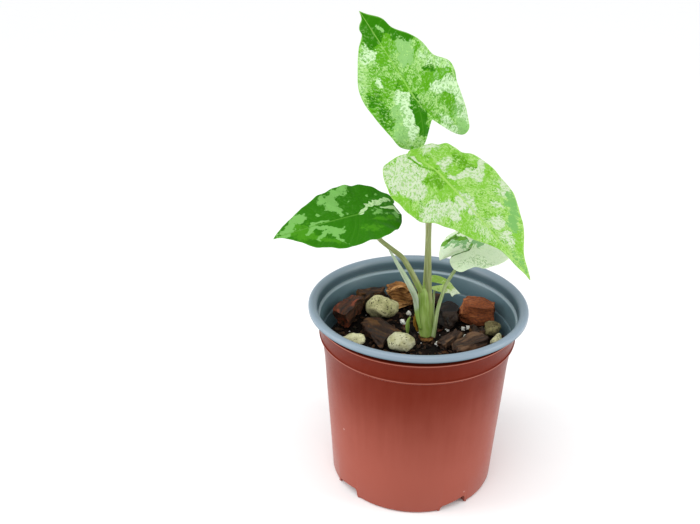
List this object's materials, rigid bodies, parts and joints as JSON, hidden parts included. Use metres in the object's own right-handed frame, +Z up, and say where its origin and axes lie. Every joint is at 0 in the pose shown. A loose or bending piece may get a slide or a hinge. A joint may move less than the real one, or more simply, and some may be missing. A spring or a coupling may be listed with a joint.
{
  "type": "potted alocasia plant",
  "caption": "Young variegated alocasia with heart-shaped leaves on slim stalks, rooted in a bark and pumice mix in a round thermoformed nursery pot.",
  "frame": {"origin": "middle of the pot's flat floor, on the surface it stands on", "axes": "+Z up along the pot's axis, -Y the front, with the large lower leaf to the right (+X) and the dark leaf to the left (-X)"},
  "size_m": [0.1354, 0.12, 0.2585],
  "materials": {
    "pot_plastic": "thermoformed sheet, terracotta outside and blue-grey inside and on the lip, satin",
    "potting_mix": "dark crumbly bark and peat mix, damp",
    "crown_skin": "brown fibrous skin of the corm",
    "stem": "waxy green sheaths, wrapped",
    "petiole": "smooth waxy olive stalk",
    "sheath_pale": "thin pale green sheath, translucent",
    "sheath_dry": "dried papery sheath",
    "leaf_cream_green": "waxy leaf, cream and mint marbled with mid green",
    "leaf_lime": "waxy leaf, lime green speckled with cream",
    "leaf_dark_green": "waxy leaf, dark green with pale sage patches",
    "bark": "rough broken pine bark",
    "husk": "fibrous coconut husk",
    "pumice_grey": "matt pitted pumice, grey-green",
    "pumice_cream": "matt pitted pumice, cream",
    "perlite": "matt white expanded grain"
  },
  "bodies": {
    "root": {"bark_behind_stem": "bark", "bark_bits": "bark", "bark_flat": "bark", "bark_front": "bark", "bark_front_right": "bark", "bark_front_side": "bark", "bark_left": "bark", "bark_left_rear": "bark", "bark_rear": "bark", "bark_strip": "bark", "blade_left": "leaf_dark_green", "blade_right": "leaf_lime", "blade_small": "leaf_cream_green", "blade_top": "leaf_cream_green", "blade_young": "leaf_lime", "crown": "crown_skin", "husk_front": "husk", "husk_rear": "husk", "husk_right": "husk", "offset_shoot": "sheath_pale", "old_sheath": "sheath_dry", "perlite_1": "perlite", "perlite_2": "perlite", "perlite_3": "perlite", "perlite_4": "perlite", "perlite_5": "perlite", "perlite_6": "perlite", "perlite_7": "perlite", "perlite_8": "perlite", "petiole_left": "petiole", "petiole_right": "petiole", "petiole_small": "petiole", "petiole_top": "petiole", "petiole_young": "petiole", "pot": "pot_plastic", "potting_mix": "potting_mix", "pumice_cream": "pumice_cream", "pumice_cream_right": "pumice_cream", "pumice_front": "pumice_grey", "pumice_grey": "pumice_grey", "pumice_grey_right": "pumice_grey", "pumice_white": "pumice_cream", "sheath_wing": "sheath_pale", "stem": "stem"}
  },
  "joints": []
}
